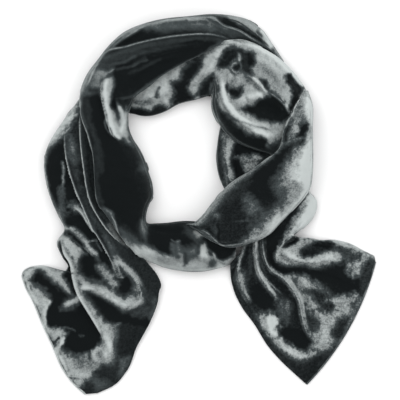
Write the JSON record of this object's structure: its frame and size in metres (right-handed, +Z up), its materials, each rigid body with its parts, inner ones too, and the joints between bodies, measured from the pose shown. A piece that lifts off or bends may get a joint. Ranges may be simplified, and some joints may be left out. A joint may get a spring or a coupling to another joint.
{
  "type": "velvet scarf",
  "caption": "Long crushed-velvet scarf wound into a loose ring and laid flat, with two gathered ends spreading to straight hems.",
  "frame": {"origin": "middle of the laid scarf's plan, on the surface that it lies on", "axes": "+Z up from the surface; the two ends point to -Y, the left one at -X and the right one at +X"},
  "size_m": [0.4957, 0.5328, 0.06],
  "materials": {
    "velvet": "crushed velvet pile, near-black slate with pale grey nap highlights"
  },
  "bodies": {
    "root": {"left_tail": "velvet", "outer_rise": "velvet", "inner_top": "velvet", "right_under": "velvet", "bottom_band": "velvet", "right_tail": "velvet", "inner_rise": "velvet", "top_outer": "velvet", "right_inner": "velvet", "right_wrap": "velvet"}
  },
  "joints": []
}
